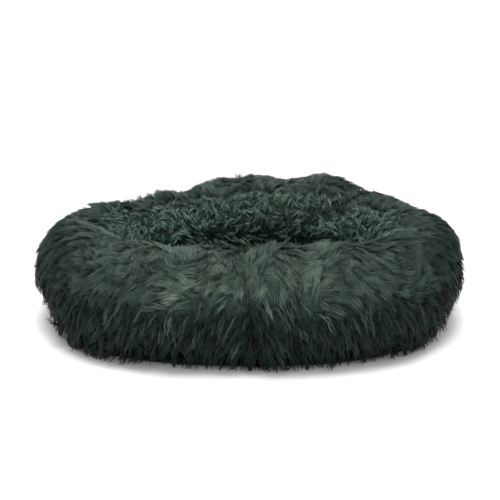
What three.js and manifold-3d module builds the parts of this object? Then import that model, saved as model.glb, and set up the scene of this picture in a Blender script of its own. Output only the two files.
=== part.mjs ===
// A long-pile pet cushion bed: a stuffed ring bolster round a low sleeping pad, in a fur cover that unzips underneath.
// Millimetres, +Z up. The origin is the middle of the footprint on the floor, and +X runs along the bed's length.
import * as THREE from "three";
import { ParametricGeometry } from "three/addons/geometries/ParametricGeometry.js";
import { mergeVertices } from "three/addons/utils/BufferGeometryUtils.js";
import Module from "manifold-3d";

const wasm = await Module();
wasm.setup();

// Driving dimensions
const LENGTH = 750; // over the pile
const DEPTH = 590; // over the pile
const HEIGHT = 190; // floor to the highest part of the rim, over the pile
const BOLSTER_WIDTH = 190; // across the bolster, over the pile
const BELLY_HEIGHT = 84; // where the bolster is widest
const PLAN_POWER = { front: 2.5, back: 2.1 }; // 2 is an ellipse, and more squares its corners
const RIM_POWER = 2.1; // roundness of the bolster above its belly
const FOOT_POWER = 2.9; // the bolster's underside lies flatter
const RIM_DIPS = [
  { at: 142, depth: 36, spread: 34 }, // the rim slumps at the back left
  { at: 20, depth: 20, spread: 30 },
]; // plan angle and spread in degrees

const FIT = 0.3; // between pieces that touch
const SLACK = 1.5; // between the soft layers, whose facets don't follow each other exactly
const COVER_PILE = 16; // bolster cover with its lying pile
const LINING = 1.2; // insert casing cloth
const PANEL = 0.8; // base cloth
const STATIONS = 48; // round the plan
const SECTION_STEP = 22.5; // degrees between corners of a section

const OUTER_SEAM = -67.5; // section angles, 0 outward and 90 at the crest
const INNER_SEAM = 202.5;
const SEAM_GAP = 0.3; // between the two halves of the bolster cover
const BASE_TUCK = 4; // the base cloth ends this far inside the cover's lower edge

const PAD_TOP = 70; // middle of the pad, over its pile
const PAD_CROWN = 26; // drop from the middle to the pad's edge
const PAD_PILE = 13;
const PAD_EDGE = -98; // the pad's edge from the bolster's centreline
const PAD_FOOT = -70; // the pad spreads below the bolster's belly
const PAD_FLOOR = 7.4; // underside of the pad's insert, clear of the zip
const PAD_RINGS = 4;

const ZIP_LENGTH = 392; // of the coil
const ZIP_LIFT = 3.8; // the panels' turned edges rise this far above the floor
const ZIP_SLOT = 5.5; // half width of the gap in the base
const ZIP_SEAM = 0.15; // half gap between the panels past the zip
const ZIP_RAMP = [24, 10]; // where a panel leaves the floor and where it is up
const ZIP_GUT = 1.2; // half gap between the two halves of the zip
const TAPE = 0.5;
const TAPE_WIDTH = 13;
const COIL = { width: 2.3, height: 1.3 };
const SLIDER = { length: 11, half: 4.5, plate: 0.8, flange: 0.7, post: 0.5, at: 187 };
const BRIDGE = { span: 6.6, bar: 0.5, width: 1.8, drop: 1.9 };
const PULL = { length: 23, width: 6, thick: 0.8, eye: 4.6, eyeWidth: 3, pin: 0.4 };

const rad = THREE.MathUtils.degToRad;
const AXES = { x: (LENGTH - BOLSTER_WIDTH) / 2, y: (DEPTH - BOLSTER_WIDTH) / 2 };

// Plan radius at a plan angle, at an offset from the bolster's centreline.
function planRadius(turn, offset) {
  const x = Math.abs(Math.cos(turn)) / (AXES.x + offset);
  const y = Math.abs(Math.sin(turn)) / (AXES.y + offset);
  const power = Math.sin(turn) > 0 ? PLAN_POWER.back : PLAN_POWER.front;
  return (x ** power + y ** power) ** (-1 / power);
}

// Height of the rim over the pile, with its slumped places.
function rimHeight(turn) {
  const degrees = THREE.MathUtils.radToDeg(turn);
  const dips = RIM_DIPS.map(({ at, depth, spread }) => {
    const away = ((degrees - at + 540) % 360) - 180;
    return depth * Math.exp(-((away / spread) ** 2));
  });
  return HEIGHT - dips.reduce((sum, dip) => sum + dip, 0);
}

// A point of the bolster's section, inset from the outer surface and held off the floor: [offset, z].
function bolsterPoint(turn, degrees, inset, floorGap) {
  const c = Math.cos(rad(degrees));
  const s = Math.sin(rad(degrees));
  const power = 2 / (s > 0 ? RIM_POWER : FOOT_POWER);
  const above = rimHeight(turn) - BELLY_HEIGHT - inset;
  const below = BELLY_HEIGHT - floorGap;
  const offset = (BOLSTER_WIDTH / 2 - inset) * Math.sign(c) * Math.abs(c) ** power;
  return [offset, BELLY_HEIGHT + (s > 0 ? above : below) * Math.sign(s) * Math.abs(s) ** power];
}

// Section angles from one to another, with the same corners in between for every layer so that layers stay clear.
function sectionAngles(from, to) {
  const inner = [];
  for (let k = Math.floor(from / SECTION_STEP) + 1; k * SECTION_STEP < to; k++) {
    inner.push(k * SECTION_STEP);
  }
  return [from, ...inner, to];
}

// Corners [offset, z] along the bolster's section between two angles, counter-clockwise.
function bolsterArc(turn, from, to, { inset, floor }) {
  return sectionAngles(from, to).map((angle) => bolsterPoint(turn, angle, inset, floor));
}

// A geometry with shared vertices and no collapsed faces.
function tidy(geometry) {
  const bare = new THREE.BufferGeometry();
  bare.setAttribute("position", geometry.getAttribute("position"));
  bare.setIndex(geometry.getIndex());
  const merged = mergeVertices(bare, 1e-3);
  const index = Array.from(merged.index.array);
  const kept = [];
  for (let i = 0; i < index.length; i += 3) {
    const [a, b, c] = index.slice(i, i + 3);
    if (a !== b && b !== c && a !== c) kept.push(a, b, c);
  }
  merged.setIndex(kept);
  return merged;
}

// A closed solid swept round the plan. outline(turn) gives its corners as [plan radius, z], outside first.
function sweep(outline) {
  const corners = outline(0).length;
  const rings = Array.from({ length: STATIONS }, (_, i) => outline((2 * Math.PI * i) / STATIONS));
  const place = (u, v, target) => {
    const station = Math.round(u * STATIONS) % STATIONS;
    const turn = (2 * Math.PI * station) / STATIONS;
    const [radius, z] = rings[station][Math.round(v * corners) % corners];
    target.set(radius * Math.cos(turn), radius * Math.sin(turn), z);
  };
  return tidy(new ParametricGeometry(place, STATIONS, corners));
}

// Turns corners [offset, z] into [plan radius, z].
function onPlan(turn, corners) {
  return corners.map(([offset, z]) => [planRadius(turn, offset), z]);
}

// A curved skin of the bolster between two section angles.
function bolsterSkin(from, to, outer, inner) {
  return sweep((turn) =>
    onPlan(turn, [...bolsterArc(turn, from, to, outer), ...bolsterArc(turn, from, to, inner).reverse()]),
  );
}

function solidOf(geometry) {
  const shared = tidy(geometry);
  const vertProperties = new Float32Array(shared.attributes.position.array);
  const triVerts = new Uint32Array(shared.index.array);
  return new wasm.Manifold(new wasm.Mesh({ numProp: 3, vertProperties, triVerts }));
}

function geometryOf(solid) {
  const mesh = solid.getMesh();
  const geometry = new THREE.BufferGeometry();
  geometry.setAttribute("position", new THREE.BufferAttribute(new Float32Array(mesh.vertProperties), 3));
  geometry.setIndex(Array.from(mesh.triVerts));
  geometry.computeVertexNormals();
  return geometry;
}

// A box between two corners.
function block(low, high) {
  const size = high.map((h, i) => h - low[i]);
  const middle = high.map((h, i) => (h + low[i]) / 2);
  return new THREE.BoxGeometry(...size).translate(...middle);
}

function join(...geometries) {
  return geometryOf(geometries.map(solidOf).reduce((a, b) => a.add(b)));
}

function cut(geometry, ...tools) {
  return geometryOf(tools.map(solidOf).reduce((a, b) => a.subtract(b), solidOf(geometry)));
}

function common(a, b) {
  return geometryOf(solidOf(a).intersect(solidOf(b)));
}

const cloth = (color, roughness = 1) => new THREE.MeshStandardMaterial({ color, roughness, metalness: 0 });
const FUR = cloth(0x45524b);
const FUR_PAD = cloth(0x36423d);
const BASE_CLOTH = cloth(0x1c1f20, 0.8);
const LINING_CLOTH = cloth(0xe8e6e0, 0.9);
const FIBRE = cloth(0xf4f3ef);
const TAPE_CLOTH = cloth(0x16181a, 0.9);
const NYLON = cloth(0x1d1f21, 0.45);
const LABEL_SATIN = cloth(0xdcdad3, 0.5);
const ZINC = new THREE.MeshStandardMaterial({ color: 0x3b3d40, roughness: 0.35, metalness: 1 });

const bed = new THREE.Group();

function add(name, geometry, material, parent = bed) {
  const mesh = new THREE.Mesh(geometry, material);
  mesh.name = name;
  parent.add(mesh);
  return mesh;
}

// The bolster's fur cover: a ring open underneath, made of two lengths sewn together at the front and at the back.
function bolsterCover() {
  const skin = bolsterSkin(
    OUTER_SEAM,
    INNER_SEAM,
    { inset: 0, floor: 0 },
    { inset: COVER_PILE, floor: PANEL + FIT },
  );
  const far = LENGTH;
  const left = block([-far, -far, -1], [-SEAM_GAP / 2, far, far]);
  const right = block([SEAM_GAP / 2, -far, -1], [far, far, far]);
  add("bolster_cover_left", common(skin, left), FUR);
  add("bolster_cover_right", common(skin, right), FUR);
}

// The bolster's insert: fibre in a casing, whose closing seam is a slit at the bottom.
function bolsterInsert() {
  const casing = COVER_PILE + SLACK;
  const floor = ZIP_LIFT + PANEL + FIT;
  const slit = 3; // degrees of the section left open
  const bottom = 270;
  add(
    "bolster_casing",
    bolsterSkin(
      bottom - 360 + slit / 2,
      bottom - slit / 2,
      { inset: casing, floor },
      { inset: casing + LINING, floor: floor + LINING },
    ),
    LINING_CLOTH,
  );
  const fill = { inset: casing + LINING + SLACK, floor: floor + LINING + SLACK };
  const full = (turn) => bolsterArc(turn, 0, 360, fill).slice(0, -1);
  add("bolster_fill", sweep((turn) => onPlan(turn, full(turn))), FIBRE);
}

// Corners of the pad's upper surface from the middle out, lowered and drawn in by an inset: [plan radius, z].
function padDome(turn, inset) {
  const edge = planRadius(turn, PAD_EDGE - inset);
  return Array.from({ length: PAD_RINGS + 1 }, (_, i) => {
    const share = i / PAD_RINGS;
    return [share * edge, PAD_TOP - inset - PAD_CROWN * share ** 3];
  });
}

// A flat corner of the pad at a plan offset.
const padCorner = (turn, offset, z) => [planRadius(turn, offset), z];

// The sleeping pad: fur top, insert casing of a top and a bottom, and its fibre.
function pad() {
  add("pad_cover", sweep((turn) => [...padDome(turn, PAD_PILE), ...padDome(turn, 0).reverse()]), FUR_PAD);
  const casing = PAD_PILE + SLACK;
  const inside = casing + LINING;
  const fill = inside + SLACK;
  const floor = PAD_FLOOR + LINING + FIT;
  const innerFoot = PAD_FOOT - 2 * LINING; // the side slopes, so its cloth measures twice as much across
  add(
    "pad_casing_top",
    sweep((turn) => [
      ...padDome(turn, inside),
      padCorner(turn, innerFoot, floor),
      padCorner(turn, PAD_FOOT, floor),
      ...padDome(turn, casing).reverse(),
    ]),
    LINING_CLOTH,
  );
  add(
    "pad_fill",
    sweep((turn) => [
      [0, floor],
      padCorner(turn, innerFoot - 2 * SLACK, floor),
      ...padDome(turn, fill).reverse(),
    ]),
    FIBRE,
  );
  add(
    "pad_casing_bottom",
    sweep((turn) => [
      [0, PAD_FLOOR],
      padCorner(turn, PAD_FOOT, PAD_FLOOR),
      padCorner(turn, PAD_FOOT, PAD_FLOOR + LINING),
      [0, PAD_FLOOR + LINING],
    ]),
    LINING_CLOTH,
  );
}

// Bands sewn into the two ring seams: one at the base, one where the pad meets the bolster.
function seamBands() {
  const band = (offset, width, low, high) => (turn) =>
    onPlan(turn, [
      [offset, low],
      [offset + width, low],
      [offset + width, high],
      [offset, high],
    ]);
  const baseSeam = bolsterPoint(0, OUTER_SEAM, 0, 0)[0];
  const padSeam = bolsterPoint(0, INNER_SEAM, 0, 0);
  add("base_seam_binding", sweep(band(baseSeam + FIT - BASE_TUCK, 4.5, FIT, 4)), TAPE_CLOTH);
  add("pad_seam_tape", sweep(band(padSeam[0] + 2, 2, padSeam[1] - 12, padSeam[1] - 1)), TAPE_CLOTH);
}

// Extrudes an outline of [y, z] corners along X between two ends.
function along(corners, from, to) {
  const shape = new THREE.Shape(corners.map(([y, z]) => new THREE.Vector2(y, z)));
  const bar = new THREE.ExtrudeGeometry(shape, { depth: to - from, bevelEnabled: false });
  // the shape's X and Y become Y and Z, and its depth runs along X
  return bar.applyMatrix4(new THREE.Matrix4().makeBasis(
    new THREE.Vector3(0, 1, 0),
    new THREE.Vector3(0, 0, 1),
    new THREE.Vector3(1, 0, 0),
  )).translate(from, 0, 0);
}

// The two halves of the non-slip base, flat on the floor and turned up into a shallow groove along the zip.
function basePanels() {
  const edge = bolsterPoint(0, OUTER_SEAM, 0, 0)[0] - BASE_TUCK;
  const outline = sweep((turn) => [
    [0, -PANEL],
    padCorner(turn, edge, -PANEL),
    padCorner(turn, edge, ZIP_LIFT + 2 * PANEL),
    [0, ZIP_LIFT + 2 * PANEL],
  ]);
  const [low, high] = ZIP_RAMP;
  const slotEnd = ZIP_LENGTH / 2 + 18;
  const slot = block([-slotEnd, -ZIP_SLOT, -1], [slotEnd, ZIP_SLOT, ZIP_LIFT + 2]);
  const half = (side) => {
    const lower = [[DEPTH, 0], [low, 0], [high, ZIP_LIFT], [ZIP_SEAM, ZIP_LIFT]];
    const upper = lower.map(([y, z]) => [y, z + PANEL]).reverse();
    const profile = [...lower, ...upper].map(([y, z]) => [side * y, z]);
    return cut(common(along(profile, -LENGTH, LENGTH), outline), slot);
  };
  add("base_panel_front", half(-1), BASE_CLOTH);
  add("base_panel_rear", half(1), BASE_CLOTH);
}

// The zip: two tapes with a coil each, end stops, and a slider whose pull hangs on a bridge.
function zip() {
  const tapeLow = ZIP_LIFT + PANEL + FIT;
  const tapeEnd = ZIP_LENGTH / 2 + 24;
  const coilTop = tapeLow - FIT;
  const coilLow = coilTop - COIL.height;
  const coilEnd = ZIP_LENGTH / 2;
  const stop = 3.2;
  for (const [name, side] of [["front", -1], ["rear", 1]]) {
    const strip = (inner, outer, low, high, from, to) => {
      const ys = [side * inner, side * outer].sort((a, b) => a - b);
      return block([from, ys[0], low], [to, ys[1], high]);
    };
    add(
      `zip_tape_${name}`,
      strip(ZIP_GUT, ZIP_GUT + TAPE_WIDTH, tapeLow, tapeLow + TAPE, -tapeEnd, tapeEnd),
      TAPE_CLOTH,
    );
    const bevel = COIL.height * 0.4;
    const section = [
      [ZIP_GUT, coilTop],
      [ZIP_GUT, coilLow + bevel],
      [ZIP_GUT + bevel, coilLow],
      [ZIP_GUT + COIL.width - bevel, coilLow],
      [ZIP_GUT + COIL.width, coilLow + bevel],
      [ZIP_GUT + COIL.width, coilTop],
    ].map(([y, z]) => [side * y, z]);
    add(`zip_coil_${name}`, along(section, -coilEnd, coilEnd), NYLON);
    add(
      `zip_top_stop_${name}`,
      strip(ZIP_GUT, ZIP_GUT + COIL.width + FIT, coilLow, coilTop, coilEnd + FIT, coilEnd + FIT + stop),
      ZINC,
    );
  }
  const across = ZIP_GUT + COIL.width;
  add(
    "zip_bottom_stop",
    block([-coilEnd - FIT - stop, -across, coilLow], [-coilEnd - FIT, across, coilTop]),
    ZINC,
  );
  slider(tapeLow, coilLow);
}

// The slider body, round the coils and tapes, with the bridge below it that its pull swings on.
function slider(tapeLow, coilLow) {
  const run = new THREE.Group();
  run.position.x = SLIDER.at;
  bed.add(run);
  const { length, half, plate, flange, post } = SLIDER;
  const lowPlate = coilLow - FIT - plate; // the plate seen from below
  const topPlate = tapeLow + TAPE + FIT;
  const shield = (low, high) => {
    const shape = new THREE.Shape();
    shape.moveTo(length / 2, -half * 0.72);
    shape.lineTo(0, -half);
    shape.lineTo(-length / 2 + 2, -half);
    shape.quadraticCurveTo(-length / 2, -half, -length / 2, -half * 0.5);
    shape.lineTo(-length / 2, half * 0.5);
    shape.quadraticCurveTo(-length / 2, half, -length / 2 + 2, half);
    shape.lineTo(0, half);
    shape.lineTo(length / 2, half * 0.72);
    shape.closePath();
    const solid = new THREE.ExtrudeGeometry(shape, { depth: high - low, bevelEnabled: false, curveSegments: 4 });
    return solid.translate(0, 0, low);
  };
  const side = (sign) => {
    const ys = [sign * (half - flange), sign * half].sort((a, b) => a - b);
    return block([-length / 2 + 1.6, ys[0], lowPlate], [0, ys[1], tapeLow - FIT]);
  };
  const bridgeLow = lowPlate - BRIDGE.drop;
  const leg = (x) =>
    block([x - 0.35, -BRIDGE.width / 2, bridgeLow], [x + 0.35, BRIDGE.width / 2, lowPlate + 0.1]);
  add(
    "zip_slider",
    join(
      shield(lowPlate, lowPlate + plate),
      shield(topPlate, topPlate + plate),
      block([-length / 2 + 1, -post, lowPlate + 0.1], [-length / 2 + 4, post, topPlate + 0.1]),
      side(-1),
      side(1),
      leg(-BRIDGE.span / 2),
      leg(BRIDGE.span / 2),
      block(
        [-BRIDGE.span / 2, -BRIDGE.width / 2, bridgeLow],
        [BRIDGE.span / 2, BRIDGE.width / 2, bridgeLow + BRIDGE.bar],
      ),
    ),
    ZINC,
    run,
  );
  const hinge = lowPlate - (BRIDGE.drop - BRIDGE.bar) / 2; // height of the pull's pin
  add("zip_pull", pullTab(), ZINC, run).position.z = hinge;
}

// The pull: a flat tab with an eye, whose crossbar is the pin it swings on.
function pullTab() {
  const { length, width, thick, eye, eyeWidth, pin } = PULL;
  const shape = new THREE.Shape();
  shape.moveTo(0, -width / 2);
  shape.lineTo(length - width / 2, -width / 2);
  shape.absarc(length - width / 2, 0, width / 2, -Math.PI / 2, Math.PI / 2, false);
  shape.lineTo(0, width / 2);
  shape.closePath();
  const tab = new THREE.ExtrudeGeometry(shape, { depth: thick, bevelEnabled: false, curveSegments: 5 });
  tab.translate(0, 0, -thick / 2);
  const hole = block([-1, -eyeWidth / 2, -thick], [eye, eyeWidth / 2, thick]);
  const crossbar = new THREE.CylinderGeometry(pin, pin, width, 12);
  return join(cut(tab, hole), crossbar);
}

// A blank satin care label sewn into the base seam at the back right, lying out over the floor.
function careLabel() {
  const offset = bolsterPoint(0, OUTER_SEAM, 0, 0)[0];
  const seam = (turn) => {
    const radius = planRadius(turn, offset);
    return new THREE.Vector2(radius * Math.cos(turn), radius * Math.sin(turn));
  };
  const turn = rad(62);
  const along = seam(turn + 0.01).sub(seam(turn - 0.01));
  const mesh = add("care_label", block([4.5, -12, 0.6], [36, 12, 1.4]), LABEL_SATIN);
  const { x, y } = seam(turn);
  mesh.position.set(x, y, 0);
  mesh.rotation.z = along.angle() - Math.PI / 2;
}

bolsterCover();
bolsterInsert();
pad();
seamBands();
basePanels();
zip();
careLabel();

export default bed;
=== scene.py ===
"""A long-pile pet cushion bed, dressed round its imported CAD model. Metres, +Z up, +X along the bed."""
import math

import bpy
import numpy as np
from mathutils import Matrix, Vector, kdtree
from mathutils.bvhtree import BVHTree


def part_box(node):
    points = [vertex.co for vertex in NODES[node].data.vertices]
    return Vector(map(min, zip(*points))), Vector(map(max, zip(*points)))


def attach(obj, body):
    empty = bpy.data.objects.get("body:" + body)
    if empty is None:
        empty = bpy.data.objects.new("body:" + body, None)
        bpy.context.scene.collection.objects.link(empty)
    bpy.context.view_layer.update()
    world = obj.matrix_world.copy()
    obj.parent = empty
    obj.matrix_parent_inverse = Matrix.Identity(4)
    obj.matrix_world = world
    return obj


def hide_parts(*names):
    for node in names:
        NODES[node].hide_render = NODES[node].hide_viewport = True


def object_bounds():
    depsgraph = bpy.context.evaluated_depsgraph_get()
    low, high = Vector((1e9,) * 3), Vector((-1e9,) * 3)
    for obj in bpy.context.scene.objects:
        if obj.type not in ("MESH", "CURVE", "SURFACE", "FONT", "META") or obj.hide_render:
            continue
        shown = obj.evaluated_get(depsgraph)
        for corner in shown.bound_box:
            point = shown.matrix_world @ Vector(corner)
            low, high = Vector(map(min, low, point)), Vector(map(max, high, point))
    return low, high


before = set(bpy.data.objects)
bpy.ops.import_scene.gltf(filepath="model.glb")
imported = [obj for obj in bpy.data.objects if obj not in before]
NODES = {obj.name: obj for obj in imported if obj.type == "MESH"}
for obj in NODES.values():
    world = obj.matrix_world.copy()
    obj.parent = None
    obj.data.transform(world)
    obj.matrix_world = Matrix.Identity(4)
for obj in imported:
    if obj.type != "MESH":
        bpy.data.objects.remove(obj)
bpy.context.view_layer.update()
CAD_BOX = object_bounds()

MM = 0.001
TAU = 2 * math.pi
UP = np.array([0.0, 0.0, 1.0])
DOWN = Vector((0, 0, -1))
LEVEL = np.array([1, 1, 0])

# The stuffed ring's grid: stations go round the plan, sections round the stuffing
STATIONS = 144
SECTIONS = 48
TURNS = TAU * np.arange(STATIONS) / STATIONS
PAD_RINGS = 16
BAND_STATIONS = 240
RING_START = -5 * MM  # the ring starts inside the insert's casing, and is blown up to fill its cover
RING_SWELL = 8 * MM
PAD_START = -2 * MM
PAD_SWELL = 5 * MM
BACKING_THICK = 1.5 * MM
CASING_INSET = 3 * MM
CASING_THICK = 0.6 * MM
FIBRE_INSET = 5 * MM
OUTER_SEAM = -67.5  # degrees round a section: 0 outward, 90 at the crest
INNER_SEAM = 202.5
SEAM_PINCH = 6 * MM  # how deep the two cross seams draw the stuffing in
SEAM_REACH = 20 * MM
SEAM_SLOPE = 0.2  # how steeply the pad's cloth rises to its seam with the bolster
LUMP = 3.5 * MM
CREST_RISE = 7 * MM

# Heights round a section, each with how far a rise spreads there, in degrees
CREST = (88, 38)
SHOULDER = (42, 30)
UNDERCUT = (-40, 26)
FOOT = (-48, 32)
# Where the stuffing has settled: rise in mm, plan angle and its spread in degrees, and where on the section
SETTLED = [
    (14, 50, 14, *CREST),  # the high back right
    (-5, 77, 8, *CREST),
    (-9, 121, 5, *CREST),  # the dip and the rise in the slumped back left
    (4, 133, 6, *CREST),
    (6, 161, 13, *CREST),
    (6, 3, 12, *CREST),
    (6, 0, 18, *SHOULDER),  # the full right shoulder, on both sides of the plan angle's start
    (6, 360, 18, *SHOULDER),
    (-15, 180, 24, *UNDERCUT),  # the ends draw in underneath
    (-15, 0, 24, *UNDERCUT),
    (-15, 360, 24, *UNDERCUT),
    (-7, 196, 12, -20, 11),  # folds low in the ends
    (-3, 349, 11, -20, 16),
    (12, 214, 15, *FOOT),  # the front's full foot
    (10, 279, 20, *FOOT),
    (7, 327, 14, *FOOT),
]


# ---- small helpers


def unit(v):
    """Rows of v scaled to length 1."""
    return v / np.maximum(np.linalg.norm(v, axis=-1, keepdims=True), 1e-9)


def smooth(low, high, x):
    """0 below low, 1 above high, and smooth in between."""
    t = np.clip((x - low) / (high - low), 0, 1)
    return t * t * (3 - 2 * t)


def hump(x, middle, width):
    """1 at the middle, falling away smoothly over the width."""
    return np.exp(-(((x - middle) / width) ** 2))


def waves(seed, count, low, high):
    """A smooth random field over (turn, section), both in radians, with values of about -1 to 1."""
    r = np.random.default_rng(seed)
    k = r.integers(low, high, count)
    m = r.integers(-3, 4, count)
    phase = r.uniform(0, TAU, count)
    share = r.uniform(0.6, 1.0, count)
    share /= share.sum() * 0.55

    def field(turn, section):
        parts = np.sin(np.multiply.outer(turn, k) + np.multiply.outer(section, m) + phase)
        return parts @ share

    return field


def mesh_object(name, points, faces, material=None):
    """A smooth-shaded mesh of points, in an array or list of any shape, and faces."""
    mesh = bpy.data.meshes.new(name)
    mesh.from_pydata(np.reshape(points, (-1, 3)).tolist(), [], faces)
    mesh.update()
    mesh.polygons.foreach_set("use_smooth", [True] * len(mesh.polygons))
    if material:
        mesh.materials.append(material)
    return linked(bpy.data.objects.new(name, mesh))


def linked(obj):
    """Puts an object in the scene and gives it back."""
    bpy.context.scene.collection.objects.link(obj)
    return obj


def coords(obj):
    co = np.empty(len(obj.data.vertices) * 3, np.float32)
    obj.data.vertices.foreach_get("co", co)
    return co.reshape(-1, 3).astype(float)


def set_coords(obj, co):
    obj.data.vertices.foreach_set("co", np.asarray(co, np.float32).ravel())
    obj.data.update()


def tree_of(node):
    """A search tree over the faces of a CAD node."""
    mesh = NODES[node].data
    return BVHTree.FromPolygons([v.co for v in mesh.vertices], [p.vertices[:] for p in mesh.polygons])


def grid_tree(grid, columns_close):
    """A search tree over a grid of points that closes along its rows."""
    faces = grid_faces(*grid.shape[:2], True, columns_close)
    return BVHTree.FromPolygons([Vector(p) for p in grid.reshape(-1, 3)], faces)


def grid_faces(rows, columns, rows_close=True, columns_close=True):
    """Quads over a grid of points, joined up at the ends where it closes."""
    return [
        (i * columns + j, (i + 1) % rows * columns + j,
         (i + 1) % rows * columns + (j + 1) % columns, i * columns + (j + 1) % columns)
        for i in range(rows if rows_close else rows - 1)
        for j in range(columns if columns_close else columns - 1)
    ]


def turn_way(turn):
    """The level direction at a plan angle."""
    return Vector((math.cos(turn), math.sin(turn), 0))


def reach_at(tree, turn, z):
    """How far out from the middle a solid reaches at a plan angle and height."""
    far = 1.0
    way = turn_way(turn)
    return far - tree.ray_cast(way * far + Vector((0, 0, z)), -way)[3]


def top_at(tree, x, y):
    """Height of a solid's upper surface at a plan point."""
    above = 0.3
    return above - tree.ray_cast(Vector((x, y, above)), DOWN)[3]


def hem_line(node, points, outside):
    """Where cloth that ends at points is sewn to a band: on the band's outer or inner face."""
    tree = tree_of(node)
    low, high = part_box(node)
    z = 0.5 * (low[2] + high[2])
    gap = 0.2 * MM
    line = []
    for point in points:
        turn = math.atan2(point[1], point[0])
        if outside:
            radius = reach_at(tree, turn, z) + gap
        else:
            radius = tree.ray_cast(Vector((0, 0, z)), turn_way(turn))[3] - gap
        line.append(np.array(turn_way(turn)) * radius + UP * z)
    return np.array(line)


def modify(obj, kind, **settings):
    """Adds a modifier."""
    modifier = obj.modifiers.new(kind.lower(), kind)
    for key, value in settings.items():
        setattr(modifier, key, value)
    return modifier


def thicken(obj, thickness):
    """Gives a sheet a thickness, away from the side its faces look to."""
    modify(obj, "SOLIDIFY", thickness=thickness, offset=-1)
    return obj


def dress(obj, slot, *replaced):
    """Rides the bed and stands for CAD nodes. Its slot is not used."""
    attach(obj, "bed")
    if replaced:
        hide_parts(*replaced)
    return obj


def bed_piece(name, points, faces, material, slot, *replaced):
    """A mesh that is part of the bed."""
    return dress(mesh_object(name, points, faces, material), slot, *replaced)


# ---- padded forms


def puff(obj, held, swell):
    """Swells a closed mesh by cloth simulation, at most by swell, holding points by their weight in held."""
    before = coords(obj)
    group = obj.vertex_groups.new(name="pins")
    for weight in sorted(set(np.round(held, 1)) - {0.0}):
        members = np.nonzero(np.round(held, 1) == weight)[0]
        group.add(members.tolist(), float(weight), "REPLACE")
    cloth = modify(obj, "CLOTH")
    settings = {"quality": 5, "mass": 0.3, "tension_stiffness": 8, "compression_stiffness": 8,
                "bending_stiffness": 0.5, "use_pressure": True, "uniform_pressure_force": 4.0,
                "vertex_group_mass": "pins", "shrink_min": -0.04}
    for key, value in settings.items():
        setattr(cloth.settings, key, value)
    cloth.settings.effector_weights.gravity = 0
    frames = 20
    cloth.point_cache.frame_start = 1
    cloth.point_cache.frame_end = frames
    scene = bpy.context.scene
    for number in range(1, frames + 1):
        scene.frame_set(number)
    shape = obj.evaluated_get(bpy.context.evaluated_depsgraph_get())
    after = np.array([v.co for v in shape.data.vertices], float)
    obj.modifiers.remove(cloth)
    obj.vertex_groups.remove(group)
    scene.frame_set(1)
    step = after - before
    far = np.linalg.norm(step, axis=1, keepdims=True)
    set_coords(obj, before + step * np.minimum(1, swell / np.maximum(far, 1e-9)))


def puffed_grid(grid, faces, held, swell, extra=()):
    """A grid of points after puff(), closed by extra points whose faces are among faces."""
    rows, columns = grid.shape[:2]
    form = mesh_object("form", [*grid.reshape(-1, 3), *extra], faces)
    puff(form, held, swell)
    moved = coords(form)[:rows * columns].reshape(rows, columns, 3)
    bpy.data.objects.remove(form)
    return moved


def section_degrees():
    """Degrees round a section, from -90 to 270, of each of the ring grid's columns."""
    angle = 360 * (np.arange(SECTIONS) + 0.5) / SECTIONS
    return np.where(angle > 270, angle - 360, angle)


def over_ring(field):
    """A random field's values over the ring's grid, [station, section]."""
    return field(*np.broadcast_arrays(TURNS[:, None], np.radians(DEGREES)))


def centreline(casing):
    """The middle of the bolster at each station, found by looking across it near its widest height."""
    z = 0.44 * CAD_BOX[1][2]
    points = []
    for turn in TURNS:
        inner = np.array(casing.ray_cast(Vector((0, 0, z)), turn_way(turn))[0])
        outer = np.array(turn_way(turn)) * reach_at(casing, turn, z) + UP * z
        points.append(0.5 * (inner + outer))
    return np.array(points)


def section_axes(centres):
    """The level direction across the bolster, outward, at each station."""
    return unit(np.cross(np.roll(centres, -1, axis=0) - np.roll(centres, 1, axis=0), UP))


def measured_ring(casing, centres, across):
    """Rays out of the bolster's middle, [station, section], and how far each reaches to its casing."""
    angle = np.radians(DEGREES)
    rays = across[:, None, :] * np.cos(angle)[None, :, None] + UP * np.sin(angle)[None, :, None]
    reach = np.zeros((STATIONS, SECTIONS))
    too_far = 0.2
    for i in range(STATIONS):
        for j in range(SECTIONS):
            hit = casing.ray_cast(Vector(centres[i]), Vector(rays[i, j]))
            reach[i, j] = hit[3] if hit[0] else np.nan
    for j in range(SECTIONS):  # a ray through the casing's closing slit takes its neighbours' reach
        gaps = np.isnan(reach[:, j]) | (reach[:, j] > too_far)
        reach[gaps, j] = 0.5 * (reach[gaps, j - 2] + reach[gaps, (j + 2) % SECTIONS])
    for axis, passes in ((1, 5), (0, 2)):
        for _ in range(passes):
            reach = 0.5 * reach + 0.25 * (np.roll(reach, 1, axis) + np.roll(reach, -1, axis))
    return rays, reach


def slump(centres):
    """How the stuffing has settled, in metres out of the section's middle, [station, section]."""
    plan = np.degrees(TURNS)[:, None]
    depth = SEAM_PINCH * np.where(np.sin(TURNS) > 0, -0.5, 1.0)
    seams = (hump(centres[:, 0], 0, SEAM_REACH) * depth)[:, None]
    settled = CREST_RISE * hump(DEGREES, *CREST)
    for rise, around, width, level, height in SETTLED:
        settled = settled + rise * MM * hump(plan, around, width) * hump(DEGREES, level, height)
    return (over_ring(waves(4, 9, 4, 15)) * LUMP - seams) * smooth(-50, 0, DEGREES) + settled


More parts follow.
